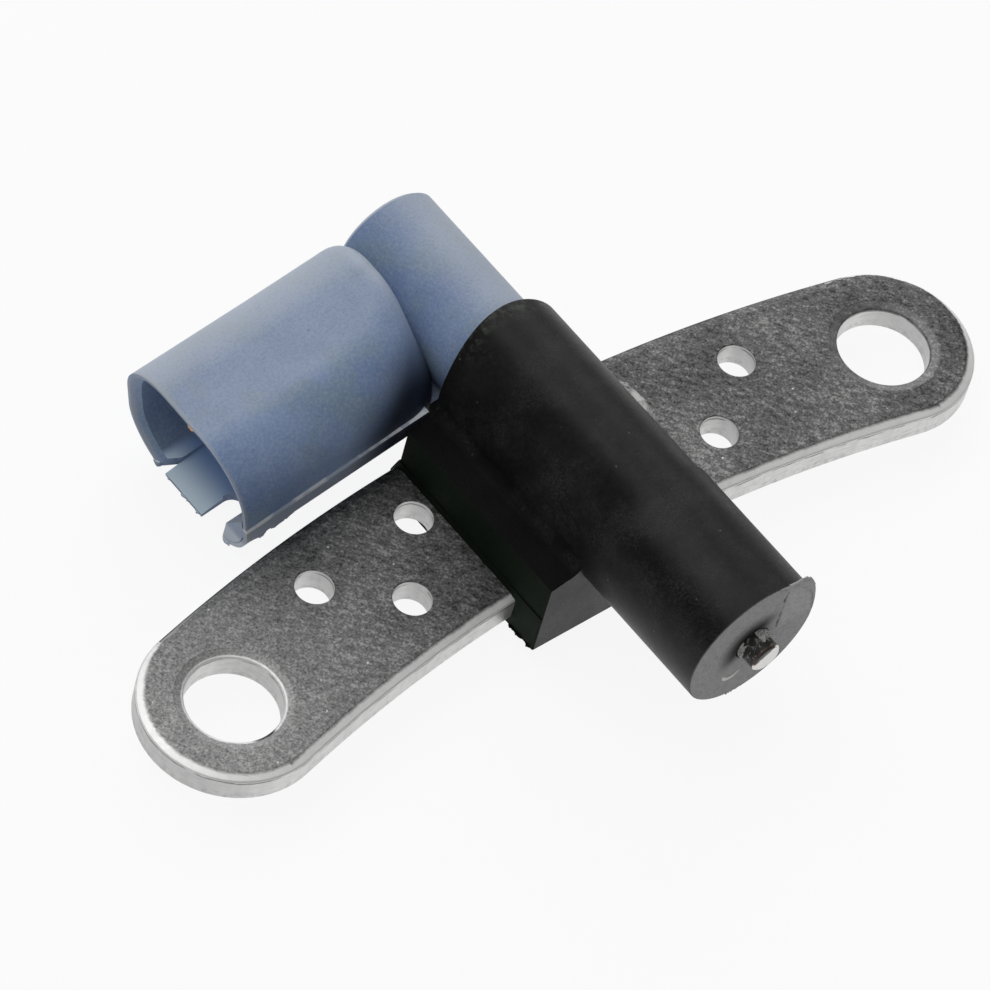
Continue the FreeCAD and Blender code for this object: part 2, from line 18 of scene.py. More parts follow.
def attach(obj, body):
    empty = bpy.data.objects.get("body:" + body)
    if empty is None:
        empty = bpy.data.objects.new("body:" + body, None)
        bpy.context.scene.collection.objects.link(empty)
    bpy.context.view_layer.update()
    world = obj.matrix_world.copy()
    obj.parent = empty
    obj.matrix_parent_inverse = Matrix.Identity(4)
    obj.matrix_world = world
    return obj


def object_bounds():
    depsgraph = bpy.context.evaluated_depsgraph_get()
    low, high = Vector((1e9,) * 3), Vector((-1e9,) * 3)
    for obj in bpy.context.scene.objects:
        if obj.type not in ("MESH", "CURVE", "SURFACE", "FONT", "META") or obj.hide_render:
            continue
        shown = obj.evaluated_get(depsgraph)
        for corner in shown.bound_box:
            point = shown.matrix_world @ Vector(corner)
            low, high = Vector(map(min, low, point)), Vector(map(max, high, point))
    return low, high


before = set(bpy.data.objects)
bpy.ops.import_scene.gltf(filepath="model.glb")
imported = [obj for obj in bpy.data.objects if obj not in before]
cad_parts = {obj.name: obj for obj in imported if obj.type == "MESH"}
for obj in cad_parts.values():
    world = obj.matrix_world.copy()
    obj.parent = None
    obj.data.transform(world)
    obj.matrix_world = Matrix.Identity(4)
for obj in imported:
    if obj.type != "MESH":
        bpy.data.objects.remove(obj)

CAD_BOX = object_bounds()
LOG = logging.getLogger("sensor")
MM = 0.001

# CAD places that finishes and added pieces share.
AXIS_HEIGHT = 12.4 * MM
NOSE_TIP = -26.6 * MM
SOCKET_PITCH = math.radians(12.5)
SOCKET_MOUTH = 32.4 * MM

Colour = tuple[float, float, float, float]
Triple = tuple[float, float, float]
Inputs = Mapping[str | int, object]
Shape = tuple[list[Vector], list[tuple[int, ...]]]
# The points of a sheet's two skins, and a fin's foot, reach and half thickness.
Skins = tuple[Vector, Vector]
Fin = tuple[Vector, Vector, Vector]


def srgb(*levels: float) -> Colour:
    """Turns display values of 0 to 255 into a linear colour.

    Args:
        levels: Display red, green and blue.

    Returns:
        The colour with full alpha.
    """

    def linear(level: float) -> float:
        """One channel in linear light."""
        share = level / 255
        return share / 12.92 if share <= 0.04045 else ((share + 0.055) / 1.055) ** 2.4

    return (*map(linear, levels), 1.0)


class Slot(Enum):
    """The record's material slots for the black and the blue moulding."""

    BLACK = "black_moulding"
    BLUE = "blue_moulding"


class Wire:
    """A shader socket that takes part in Python expressions by adding Math nodes."""

    def __init__(self, graph: "Graph", socket: bpy.types.NodeSocket) -> None:
        """Keeps the socket and the graph that it belongs to."""
        self.graph = graph
        self.socket = socket

    def math(self, operation: str, *values: "Wire | float", clamp: bool = False) -> "Wire":
        """The result of one Math node, which clamp holds between 0 and 1."""
        return self.graph.out("ShaderNodeMath", dict(enumerate(values)), operation=operation, use_clamp=clamp)

    def __add__(self, other: "Wire | float") -> "Wire":
        """Sum."""
        return self.math("ADD", self, other)

    __radd__ = __add__

    def __mul__(self, other: "Wire | float") -> "Wire":
        """Product."""
        return self.math("MULTIPLY", self, other)

    __rmul__ = __mul__

    def __sub__(self, other: "Wire | float") -> "Wire":
        """Difference."""
        return self.math("SUBTRACT", self, other)

    def __rsub__(self, other: "Wire | float") -> "Wire":
        """Difference with this value taken away."""
        return self.math("SUBTRACT", other, self)

    def __truediv__(self, other: "Wire | float") -> "Wire":
        """Quotient."""
        return self.math("DIVIDE", self, other)

    def __pow__(self, other: "Wire | float") -> "Wire":
        """Power."""
        return self.math("POWER", self, other)

    def __abs__(self) -> "Wire":
        """Size without sign."""
        return self.math("ABSOLUTE", self)

    def at_most(self, other: "Wire | float") -> "Wire":
        """The smaller of the two."""
        return self.math("MINIMUM", self, other)

    def at_least(self, other: "Wire | float") -> "Wire":
        """The larger of the two."""
        return self.math("MAXIMUM", self, other)

    def clamped(self) -> "Wire":
        """The value held between 0 and 1."""
        return self.math("ADD", self, 0.0, clamp=True)

    def swing(self, weight: float) -> "Wire":
        """How far a noise lies above or below its mean of 0.5, times a weight."""
        return (self - 0.5) * weight

    def rise(self, low: float, high: float) -> "Wire":
        """Smooth step of the value.

        Args:
            low: Where the step starts at 0.
            high: Where it reaches 1.

        Returns:
            The step. It falls instead when high is below low.
        """
        if high < low:
            return 1 - self.rise(high, low)
        inputs = {"Value": self, "From Min": low, "From Max": high}
        return self.graph.out("ShaderNodeMapRange", inputs, interpolation_type="SMOOTHSTEP")

    def band(self, centre: float, half_width: float) -> "Wire":
        """A soft band: 1 at the centre and 0 from the half width outwards."""
        return abs(self - centre).rise(half_width, 0.0)

    def parts(self) -> "tuple[Wire, Wire, Wire]":
        """X, Y and Z of a vector."""
        outputs = self.graph.node("ShaderNodeSeparateXYZ", {0: self}).outputs
        return tuple(Wire(self.graph, output) for output in outputs)

    def stretched(self, factors: Triple) -> "Wire":
        """A vector times a factor along each axis."""
        return self.graph.out("ShaderNodeVectorMath", {0: self, 1: factors}, operation="MULTIPLY")

    def turned(self, degrees: Triple) -> "Wire":
        """A vector turned about the origin."""
        inputs = {"Vector": self, "Rotation": tuple(math.radians(angle) for angle in degrees)}
        return self.graph.out("ShaderNodeVectorRotate", inputs, rotation_type="EULER_XYZ")


def length(*parts: Wire) -> Wire:
    """Length of a vector with these parts."""
    return sum(part * part for part in parts) ** 0.5


class Graph:
    """The node tree of one material or of the world."""

    def __init__(self, owner: bpy.types.Material | bpy.types.World) -> None:
        """Empties the owner's tree and keeps it.

        Args:
            owner: The material or world.
        """
        owner.use_nodes = True
        self.tree = owner.node_tree
        self.tree.nodes.clear()
        self.place = Wire(self, self.node("ShaderNodeTexCoord").outputs["Object"])
        self.facing = Wire(self, self.node("ShaderNodeNewGeometry").outputs["Normal"])

    def node(self, kind: str, inputs: Inputs | None = None, **settings: object) -> bpy.types.Node:
        """Adds a node.

        Args:
            kind: The node's type.
            inputs: Values or wires for its sockets, by name or number.
            settings: The node's own settings, which are set first.

        Returns:
            The node.
        """
        node = self.tree.nodes.new(kind)
        for name, setting in settings.items():
            setattr(node, name, setting)
        for key, content in (inputs or {}).items():
            socket = self._socket(node, key)
            if isinstance(content, Wire):
                self.tree.links.new(content.socket, socket)
            else:
                socket.default_value = content
        return node

    @staticmethod
    def _socket(node: bpy.types.Node, key: str | int) -> bpy.types.NodeSocket:
        """The enabled input of that name, or the input of that number.

        Args:
            node: The node.
            key: The input's name or number.

        Returns:
            The input.
        """
        if isinstance(key, int):
            return node.inputs[key]
        return next(socket for socket in node.inputs if socket.name == key and socket.enabled)

    def out(self, kind: str, inputs: Inputs | None = None, **settings: object) -> Wire:
        """Adds a node and gives its first enabled output."""
        node = self.node(kind, inputs, **settings)
        return Wire(self, next(socket for socket in node.outputs if socket.enabled))

    def ray(self, kind: str) -> Wire:
        """1 for the rays of that kind and 0 for all others."""
        return Wire(self, self.node("ShaderNodeLightPath").outputs[f"Is {kind} Ray"])

    def noise(
        self, size: float, detail: float = 2.0, roughness: float = 0.5, place: Wire | None = None
    ) -> Wire:
        """Noise about 0.5.

        Args:
            size: Width of its largest blotches, in metres.
            detail: Number of finer layers.
            roughness: Strength of the finer layers.
            place: Coordinates in place of the object's own.

        Returns:
            The noise.
        """
        inputs = {"Vector": place or self.place, "Scale": 1 / size, "Detail": detail, "Roughness": roughness}
        return self.out("ShaderNodeTexNoise", inputs)

    def specks(self, spacing: float, share: float) -> Wire:
        """Round specks in a few cells of a random pattern.

        Args:
            spacing: Distance between cells, in metres.
            share: Share of the cells that hold a speck.

        Returns:
            1 inside a speck and 0 outside.
        """
        cells = self.node("ShaderNodeTexVoronoi", {"Vector": self.place, "Scale": 1 / spacing})
        ragged = self.noise(spacing * 0.2, 1.0).swing(0.16)
        near = (Wire(self, cells.outputs["Distance"]) + ragged).rise(0.2, 0.08)
        chance = Wire(self, cells.outputs["Color"]).parts()[0]
        return near * chance.rise(1 - share, 1 - share + 0.01)

    def blend(self, mask: Wire, first: Wire | Colour, second: Wire | Colour) -> Wire:
        """The first colour where the mask is 0, and the second where it is 1."""
        inputs = {"Factor": mask, "A": first, "B": second}
        return self.out("ShaderNodeMix", inputs, data_type="RGBA", clamp_factor=True)

    def over(self, colour: Wire | Colour, *layers: tuple[Wire, Colour]) -> Wire:
        """Lays further colours over the first one in turn.

        Args:
            colour: The lowest colour.
            layers: Masks, each with the colour that covers where it is 1.

        Returns:
            The layered colour.
        """
        for mask, layer in layers:
            colour = self.blend(mask, colour, layer)
        return colour

    def bump(self, height: Wire, depth: float, strength: float) -> Wire:
        """A bumped normal for a height of 0 to 1 over that depth in metres."""
        return self.out("ShaderNodeBump", {"Height": height, "Distance": depth, "Strength": strength})


@dataclass(frozen=True)
class Finish:
    """A finish that one of the real surfaces has."""

    name: str

    def sockets(self, graph: Graph) -> Inputs:
        """Builds the nodes and gives the sockets of the Principled shader."""
        raise NotImplementedError

    def shader(self, graph: Graph) -> Wire:
        """Builds the finish's shader."""
        return graph.out("ShaderNodeBsdfPrincipled", self.sockets(graph))

    def material(self) -> bpy.types.Material:
        """A new material with this finish.

        Returns:
            The material.
        """
        made = bpy.data.materials.new(self.name)
        graph = Graph(made)
        graph.node("ShaderNodeOutputMaterial", {"Surface": self.shader(graph)})
        return made


@dataclass(frozen=True)
class PressedSteel(Finish):
    """Zinc-grey strap: a dark mottled face, a rolled border with a painted reflection, and a sheared wall;
    face and wall are partly painted reflections too.
    """

    name: str = "bracket_steel_pressed"
    thickness: float = 3.0 * MM
    half_spacing: float = 44.0 * MM
    sag: float = 5.0 * MM
    half_width: float = 10.0 * MM
    hole_radius: float = 5.1 * MM
    roll: float = 1.05 * MM
    hole_roll: float = 0.42 * MM
    roll_slope: float = 0.26
    dark: Colour = srgb(50, 50, 50)
    mid: Colour = srgb(98, 98, 98)
    pale: Colour = srgb(160, 160, 159)
    worn: Colour = srgb(206, 206, 205)
    pit: Colour = srgb(18, 19, 19)
    wall: Colour = srgb(226, 226, 225)
    streak: Colour = srgb(160, 162, 162)
    torn: Colour = srgb(140, 142, 141)
    # Painted reflection of the rolled border: bright on the near side, dark where it faces away.
    rolled: Colour = srgb(250, 250, 249)
    painted_dark_far_roll: Colour = srgb(62, 68, 63)
    shear: Colour = srgb(84, 85, 85)

    def from_border(self, graph: Graph) -> tuple[Wire, Wire]:
        """Measures a point of the face.

        Args:
            graph: The node tree.

        Returns:
            Its distance from the outline and from the nearer bolt hole.
        """
        across, along, _ = graph.place.parts()
        radius = (self.half_spacing**2 + self.sag**2) / (2 * self.sag)
        arc = abs(length(across, along + (radius - self.sag)) - radius)
        past_hole = abs(across) - self.half_spacing
        end = length(past_hole, along)
        beyond = past_hole.rise(-0.01 * MM, 0.01 * MM)
        return self.half_width - (arc + (end - arc) * beyond), end - self.hole_radius

    def border(self, graph: Graph, outline: Wire, hole: Wire, grain: Wire) -> tuple[Wire, Wire]:
        """Finds the bright rolled border, a painted reflection that is wide on the near side and at the left
        end.

        Args:
            graph: The node tree.
            outline: Distance from the outline.
            hole: Distance from the nearer bolt hole.
            grain: Noise that the border wavers by.

        Returns:
            The mask of the border's painted reflection, and how far the surface faces the near side.
        """
        across, _, _ = graph.place.parts()
        aside, far, _ = graph.facing.parts()
        waver = grain.swing(0.45 * MM) + graph.noise(3.0 * MM).swing(0.35 * MM)
        near = (far * (-1 / self.roll_slope) + 0.25).clamped()
        left = (aside * (-1.4 / self.roll_slope)).clamped() * across.rise(-36 * MM, -44 * MM)
        width = self.roll * 0.26 + near.at_least(left) * (self.roll * 0.74)
        rim = ((outline + waver) / width).rise(1.05, 0.6)
        ring = (hole + waver * 0.5).rise(self.hole_roll, self.hole_roll * 0.4)
        ring = ring * across.rise(40 * MM, -40 * MM)
        return rim.at_least(ring), abs(aside) * 3.0 - far * 0.85

    def face(self, graph: Graph, hole: Wire, grain: Wire, fine: Wire) -> Wire:
        """The mottled upper face, worn paler towards the left end and pitted towards the right.

        Args:
            graph: The node tree.
            hole: Distance from the nearer bolt hole.
            grain: Noise of the mottling.
            fine: Noise within it.

        Returns:
            The face's colour.
        """
        across, _, _ = graph.place.parts()
        clouds = graph.noise(11 * MM, 3.0, 0.6)
        tone = clouds.swing(1.1) + grain.swing(1.9) + fine.swing(2.0) + 0.55
        worn = across.rise(-20 * MM, -48 * MM) * (0.3 + fine.swing(0.8))
        nicks = graph.specks(0.9 * MM, 0.09) * clouds.rise(0.45, 0.55)
        pits = graph.specks(0.8 * MM, 0.14) * across.rise(-60 * MM, -20 * MM)
        return graph.over(
            graph.blend(tone.rise(-0.05, 0.55), self.dark, self.mid),
            (tone.rise(0.5, 1.25), self.pale),
            (worn + hole.rise(1.2 * MM, 0.8 * MM) * 0.15, self.worn),
            (nicks * 0.65, self.rolled),
            (pits * 0.6, self.pit),
        )

    def sheared_wall(self, graph: Graph) -> Wire:
        """The wall: burnished and partly a painted reflection, with a dark shear line under the roll, a torn
        lower part and painted shade where it faces -X.

        Args:
            graph: The node tree.

        Returns:
            The wall's colour.
        """
        _, _, height = graph.place.parts()
        aside, _, _ = graph.facing.parts()
        wavy = height + graph.noise(2.4 * MM).swing(0.5 * MM)
        line = wavy.band(self.thickness - 0.5 * MM, 0.17 * MM) * graph.noise(3.0 * MM).rise(0.36, 0.5)
        torn = wavy.rise(1.1 * MM, 0.7 * MM) * graph.noise(0.6 * MM).rise(0.45, 0.75)
        ribs = graph.noise(0.7 * MM, place=graph.place.stretched((1.0, 1.0, 0.12)))
        lines = graph.noise(0.5 * MM, 3.0, 0.6, graph.place.stretched((0.3, 0.3, 1.6)))
        return graph.over(
            self.wall,
            (ribs.rise(0.35, 0.7) * 0.15, self.streak),
            (lines.rise(0.45, 0.75) * 0.35, self.streak),
            # Painted shade: walls that face -X take the torn colour.
            (aside.rise(-0.1, -0.9) * 0.4, self.torn),
            (torn * 0.4, self.torn),
            (line * 0.85, self.shear),
        )

    def sockets(self, graph: Graph) -> Inputs:
        """Builds the face, the rolled border with its painted reflection that the near side brightens, and
        the wall.

        Args:
            graph: The node tree.

        Returns:
            The shader's inputs.
        """
        _, _, up = graph.facing.parts()
        grain_place = graph.place.turned((0, 0, -38)).stretched((1.0, 0.36, 1.0))
        grain = graph.noise(0.6 * MM, 3.0, 0.7, grain_place)
        fine = graph.noise(0.24 * MM, 2.0, 0.6)
        outline, hole = self.from_border(graph)
        rim, toward = self.border(graph, outline, hole, grain)
        # Painted reflection on the rolled border, bright where it faces the near side and dark away from it.
        bright = graph.blend(graph.noise(0.9 * MM).rise(0.5, 0.75) * 0.25, self.rolled, self.wall)
        roll = graph.blend(toward.rise(-0.12, 0.04), self.painted_dark_far_roll, bright)
        face = graph.blend(rim, self.face(graph, hole, grain, fine), roll)
        # One steel painted as two: the dark face and the bright wall are partly the real finish and partly a
        # painted reflection.
        flat = up.rise(0.2, 0.45)
        return {
            "Base Color": graph.blend(flat, self.sheared_wall(graph), face),
            "Metallic": 0.75 - flat * 0.05,
            "Roughness": 0.34 + grain * 0.2 + flat * 0.08,
            "Normal": graph.bump(grain * 0.6 + fine * 0.4, 0.05 * MM, 0.6),
        }


@dataclass(frozen=True)
class BlackPlastic(Finish):
    """Glass-filled black moulding with faint clouds, a fine grain and a sawn grey nose face."""

    name: str = "black_moulding_filled"
    rim_centre: tuple[float, float] = (33.27 * MM, 13.0 * MM)
    rim_curve: float = 18.5 * MM
    ledge_side: float = 3.0 * MM
    base: Colour = srgb(3, 3, 3)
    cloud: Colour = srgb(24, 24, 25)
    rubbed: Colour = srgb(60, 61, 60)
    # Painted highlight on faces turned to +X.
    painted_right_highlight: Colour = srgb(66, 67, 65)
    dusty: Colour = srgb(76, 82, 70)
    # Painted shade, tinted green, on the block's left flank.
    shaded: Colour = srgb(3, 24, 4)
    cut: Colour = srgb(168, 168, 168)
    cut_pale: Colour = srgb(182, 182, 182)
    scored: Colour = srgb(104, 104, 104)
    crack: Colour = srgb(40, 40, 40)
    # Painted shade: the pin's shadow on the cut face.
    painted_shade: Colour = srgb(22, 22, 22)

    def moulded_skin(self, graph: Graph, clouds: Wire, grain: Wire, fine: Wire) -> Wire:
        """The moulded skin, dusty by the barrel's rim, a painted highlight facing +X and green-tinted painted
        shade on the block's left flank.

        Args:
            graph: The node tree.
            clouds: Broad noise.
            grain: Noise of the filler.
            fine: Finest noise.

        Returns:
            The skin's colour.
        """
        _, along, height = graph.place.parts()
        aside, _, _ = graph.facing.parts()
        tone = clouds.rise(0.4, 0.72) * 0.8 + grain.swing(1.3) + fine.swing(1.1)
        rubbed = graph.noise(5 * MM, 4.0, 0.7).rise(0.42, 0.7) * fine.rise(0.3, 0.75)
        flecks = graph.specks(0.9 * MM, 0.05) + graph.specks(0.5 * MM, 0.05) * 0.6
        back, above = along - self.rim_centre[0], height - self.rim_centre[1]
        mottle = graph.noise(1.0 * MM, 3.0, 0.65).rise(0.46, 0.66)
        rim = (length(back, above) - self.rim_curve).rise(2.2 * MM, 0.1 * MM)
        flank = aside.rise(-0.8, -0.96) * above.rise(-3.0 * MM, -4.6 * MM)
        return graph.over(
            graph.blend(tone, self.base, self.cloud),
            (rubbed * 0.5, self.rubbed),
            # Painted highlight on faces turned to +X.
            (aside.rise(0.25, 0.85) * grain.rise(0.2, 0.8) * 0.6, self.painted_right_highlight),
            (flecks * 0.6, self.dusty),
            (rim * above.rise(3.5 * MM, 6.0 * MM) * mottle * 0.55, self.dusty),
            # Painted shade, tinted green, on the block's left flank.
            (flank * 0.8, self.shaded),
        )

    def sawn_face(self, graph: Graph, swirl: Wire) -> Wire:
        """The nose's cut face: two layers with a ledge between them, and a painted shadow beside the pin.

        Args:
            graph: The node tree.
            swirl: Noise that bends the ledge.

        Returns:
            The face's colour.
        """
        aside, _, height = graph.place.parts()
        above = height - AXIS_HEIGHT
        upper = above.rise(-0.5 * MM, 1.2 * MM)
        ledge = aside - self.ledge_side - above.at_most(0.6 * MM) * 0.32 + swirl.swing(1.1 * MM)
        layer = ledge.rise(-0.12 * MM, 0.12 * MM) * upper
        scored = (graph.noise(0.25 * MM, 2.0, 0.6) - 0.4).clamped() * 1.2 + swirl.rise(0.5, 0.8) * 0.25
        crack = ledge.band(-0.15 * MM, 0.26 * MM) * swirl.rise(0.42, 0.55) * upper
        # Painted shadow of the pin, on the face to its upper left.
        painted_shade = length(aside, above).rise(5.0 * MM, 2.2 * MM) * (above - aside).rise(-1.0 * MM, 2.0 * MM)
        return graph.over(
            graph.blend(layer, self.cut, self.cut_pale),
            (scored, self.scored),
            (crack * 0.8, self.crack),
            (painted_shade * 0.95, self.painted_shade),
        )

    def sockets(self, graph: Graph) -> Inputs:
        """Builds the moulded skin, with a painted shadow on the block's top beside the barrel, and, where the
        nose was cut to length, its grey face.

        Args:
            graph: The node tree.

        Returns:
            The shader's inputs.
        """
        across, along, _ = graph.place.parts()
        aside, ahead, up = graph.facing.parts()
        clouds = graph.noise(9 * MM, 3.0, 0.6)
        grain = graph.noise(0.5 * MM, 3.0, 0.7)
        fine = graph.noise(0.22 * MM, 2.0, 0.6)
        swirl = graph.noise(0.8 * MM, 3.0, 0.7)
        on_face = (along - NOSE_TIP).rise(0.14 * MM, 0.05 * MM) * ahead.rise(-0.6, -0.9)
        painted_shoulder_shadow = up.rise(0.6, 0.95) * across.rise(-7.4 * MM, -8 * MM)
        shaded = aside.rise(-0.2, -0.6) * along.rise(-12 * MM, -9 * MM)
        dull = on_face.at_least(shaded).at_least(painted_shoulder_shadow)
        # Painted shadow: the upward shoulder left of the barrel takes the darkest base colour.
        skin = graph.blend(painted_shoulder_shadow, self.moulded_skin(graph, clouds, grain, fine), self.base)
        return {
            "Base Color": graph.blend(on_face, skin, self.sawn_face(graph, swirl)),
            "Roughness": 0.46 + clouds.swing(0.3) + dull * 0.4 + fine.swing(0.3),
            "Specular IOR Level": 0.27,
            "Normal": graph.bump(grain * 0.5 + fine * 0.5 + swirl * on_face, 0.035 * MM, 0.7),
        }


@dataclass(frozen=True)
class TornPlastic(Finish):
    """Pale, rough plastic where the moulding is torn or smeared."""

    name: str
    light: Colour
    dark: Colour
    darkness: float
    grain: float

    def sockets(self, graph: Graph) -> Inputs:
        """Builds the torn skin's pale flakes and dark pits.

        Args:
            graph: The node tree.

        Returns:
            The shader's inputs.
        """
        flakes = graph.noise(self.grain, 3.0, 0.7)
        pits = graph.noise(self.grain * 1.8, 2.0, 0.6)
        tone = flakes.swing(1.6) + (pits - 0.5) + (1 - self.darkness)
        return {
            "Base Color": graph.blend(tone.rise(0.1, 0.9), self.dark, self.light),
            "Roughness": 0.7 + flakes.swing(0.3),
            "Specular IOR Level": 0.3,
            "Normal": graph.bump(flakes, 0.06 * MM, 0.7),
        }


@dataclass(frozen=True)
class BluePlastic(Finish):
    """Grey-blue moulding with greenish clouds, dust with a painted sheen, painted light on the tongue and
    painted shade at the neck.
    """

    name: str = "blue_moulding_matte"
    near_side: float = 15.0 * MM
    # Middle of the painted shade at the neck.
    neck: Triple = (10.0 * MM, 15.0 * MM, -1.5 * MM)
    base: Colour = srgb(126, 147, 182)
    deep: Colour = srgb(106, 128, 166)
    stain: Colour = srgb(118, 139, 158)
    # Dust on top, and a painted sheen on faces turned back and to +X.
    dust_and_sheen: Colour = srgb(180, 187, 197)
    grain_high: Colour = srgb(176, 183, 190)
    grain_low: Colour = srgb(84, 98, 132)
    speck: Colour = srgb(88, 100, 122)
    worn: Colour = srgb(166, 169, 173)
    key: Colour = srgb(210, 217, 224)
    # Painted light on the cavity's upward floor and the tongue, brightest at the mouth.
    tongue: Colour = srgb(132, 166, 220)
    painted_mouth_light: Colour = srgb(222, 242, 255)
    # Painted reflection of the floor on the rail's side, and a painted highlight along its edge.
    rail: Colour = srgb(160, 160, 160)
    painted_rail_highlight: Colour = srgb(226, 229, 231)
    # Painted shade at the neck, where the socket meets the cylinder.
    painted_shade: Colour = srgb(22, 28, 44)

    def moulded_skin(self, graph: Graph, clouds: Wire, stains: Wire, grain: Wire) -> Wire:
        """The skin's clouds, stains, dust with a painted sheen, and fine grain.

        Args:
            graph: The node tree.
            clouds: Broad noise.
            stains: Middle noise.
            grain: Fine noise.

        Returns:
            The skin's colour.
        """
        aside, far, up = graph.facing.parts()
        # Dust on top, and a painted sheen on faces turned back and to +X.
        dusty = (far * 0.75 + up * 0.35 + aside * 0.45).rise(-0.05, 0.65)
        return graph.over(
            graph.blend(clouds.rise(0.35, 0.68), self.base, self.deep),
            (stains.rise(0.46, 0.68) * 0.75, self.stain),
            (dusty * 0.75, self.dust_and_sheen),
            ((grain - 0.45).clamped() * 1.1, self.grain_high),
            ((0.5 - grain).clamped() * 0.9, self.grain_low),
            (graph.specks(1.1 * MM, 0.05) * 0.4, self.speck),
        )

    def wear(self, graph: Graph, skin: Wire, stains: Wire) -> Wire:
        """The socket's wear and painted light and shade: pale mouth edges, painted light on the tongue, a
        grey painted reflection and a painted highlight on the rail's side, and painted shade at the neck.

        Args:
            graph: The node tree.
            skin: Colour of the unworn skin.
            stains: Noise of the mouth's edge.

        Returns:
            The colour with its wear and its painted light and shade.
        """
        aside, across, height = graph.place.parts()
        facing_x, far, up = graph.facing.parts()
        cosine, sine = math.cos(SOCKET_PITCH), math.sin(SOCKET_PITCH)
        above = height - AXIS_HEIGHT
        outward = aside * -cosine - above * sine
        level = above * cosine - aside * sine
        edge = (outward + stains.swing(0.7 * MM)).rise(SOCKET_MOUTH - 0.45 * MM, SOCKET_MOUTH)
        rim_face = (facing_x * -cosine - up * sine).rise(0.8, 0.97)
        key = outward.rise(28 * MM, 31 * MM) * level.rise(-3 * MM, -4.5 * MM)
        key = key * across.rise(20.6 * MM, 19.6 * MM)
        floor = up.rise(0.6, 0.9) * level.rise(-6.6 * MM, -7.2 * MM)
        beside = across.rise(self.near_side + 0.6 * MM, self.near_side + 0.2 * MM)
        highlight_breaks = graph.noise(1.6 * MM, 2.0, 0.6).rise(0.4, 0.6) * 0.6 + 0.35
        # Painted shade at the neck, where the socket meets the cylinder.
        distance = length(outward - self.neck[0], across - self.neck[1], level - self.neck[2])
        neck = distance.rise(11 * MM, 3.5 * MM) * far.rise(-0.02, -0.3)
        return graph.over(
            skin,
            (edge * (0.6 - rim_face * 0.35), self.worn),
            (key * 0.6, self.key),
            # Painted light on the cavity's upward floor and the tongue, brightest at the mouth.
            (floor * 0.8, self.tongue),
            (floor * outward.rise(27.5 * MM, 32 * MM), self.painted_mouth_light),
            # Painted reflection of the floor on the rail's side, and a painted highlight, broken, along its
            # edge.
            (beside * level.rise(-0.7 * MM, -1.1 * MM) * 0.45, self.rail),
            (beside * level.band(-0.8 * MM, 0.42 * MM) * highlight_breaks, self.painted_rail_highlight),
            (neck * 0.96, self.painted_shade),
        )

    def sockets(self, graph: Graph) -> Inputs:
        """Builds the skin, its wear and its painted light and shade.

        Args:
            graph: The node tree.

        Returns:
            The shader's inputs.
        """
        clouds = graph.noise(10 * MM, 3.0, 0.55)
        stains = graph.noise(5.5 * MM, 3.0, 0.6)
        grain = graph.noise(0.3 * MM, 3.0, 0.7)
        skin = self.moulded_skin(graph, clouds, stains, grain)
        return {
            "Base Color": self.wear(graph, skin, stains),
            "Roughness": 0.52 + clouds.swing(0.2) + grain.swing(0.2),
            "Specular IOR Level": 0.28,
            "Normal": graph.bump(grain * 0.6 + stains * 0.4, 0.035 * MM, 0.5),
        }


@dataclass(frozen=True)
class GrainedMetal(Finish):
    """Metal with a worked surface: turned, stamped or drawn."""

    name: str
    light: Colour
    dark: Colour
    roughness: float
    grain: Triple

    def sockets(self, graph: Graph) -> Inputs:
        """Builds the tool marks and a little tarnish.

        Args:
            graph: The node tree.

        Returns:
            The shader's inputs.
        """
        marks = graph.noise(0.18 * MM, 2.0, 0.6, graph.place.stretched(self.grain))
        tarnish = graph.noise(1.6 * MM, 3.0, 0.6)
        colour = graph.blend(tarnish.rise(0.35, 0.7), self.light, self.dark)
        return {
            "Base Color": graph.blend((marks - 0.4).clamped() * 0.6, colour, self.dark),
            "Metallic": 0.9,
            "Roughness": self.roughness + marks.swing(0.25),
            "Normal": graph.bump(marks, 0.02 * MM, 0.5),
        }


@dataclass(frozen=True)
class CutPin(Finish):
    """Round steel pin: a bright cut end, dark across its upper part, and a side that torn plastic has
    stained.
    """

    name: str = "pole_steel_cut"
    end_place: float = -28.9 * MM
    end: Colour = srgb(222, 221, 219)
    fleck: Colour = srgb(188, 187, 185)
    side: Colour = srgb(46, 45, 44)
    smear: Colour = srgb(138, 137, 135)
    rust: Colour = srgb(132, 84, 44)

    def sockets(self, graph: Graph) -> Inputs:
        """Builds the end, dark across its top, the stained side and a rusty line where they meet.

        Args:
            graph: The node tree.

        Returns:
            The shader's inputs.
        """
        aside, along, height = graph.place.parts()
        _, ahead, _ = graph.facing.parts()
        flecks = graph.noise(0.55 * MM, 3.0, 0.7)
        above = (height - AXIS_HEIGHT) * 0.85 - aside * 0.53 + flecks.swing(0.5 * MM)
        seam = (along - self.end_place).rise(0.42 * MM, 0.2 * MM) * above.rise(-0.5 * MM, 0.5 * MM)
        # The end's upper part takes the side's dark colour.
        darker_end_top = above.rise(0.7 * MM, 0.95 * MM)
        side = graph.over(
            self.side,
            (flecks.rise(0.5, 0.62), self.smear),
            (seam * flecks.rise(0.4, 0.55) * 0.8, self.rust),
        )
        end = graph.over(
            self.end,
            (flecks.rise(0.5, 0.8) * 0.35, self.fleck),
            (darker_end_top, self.side),
            (above.band(0.82 * MM, 0.16 * MM) * 0.7, self.rust),
        )
        on_end = ahead.rise(-0.3, -0.7)
        return {
            "Base Color": graph.blend(on_end, side, end),
            "Metallic": on_end * (0.85 - darker_end_top * 0.85),
            "Roughness": 0.42 + flecks.swing(0.3),
            "Normal": graph.bump(flecks, 0.04 * MM, 0.6),
        }


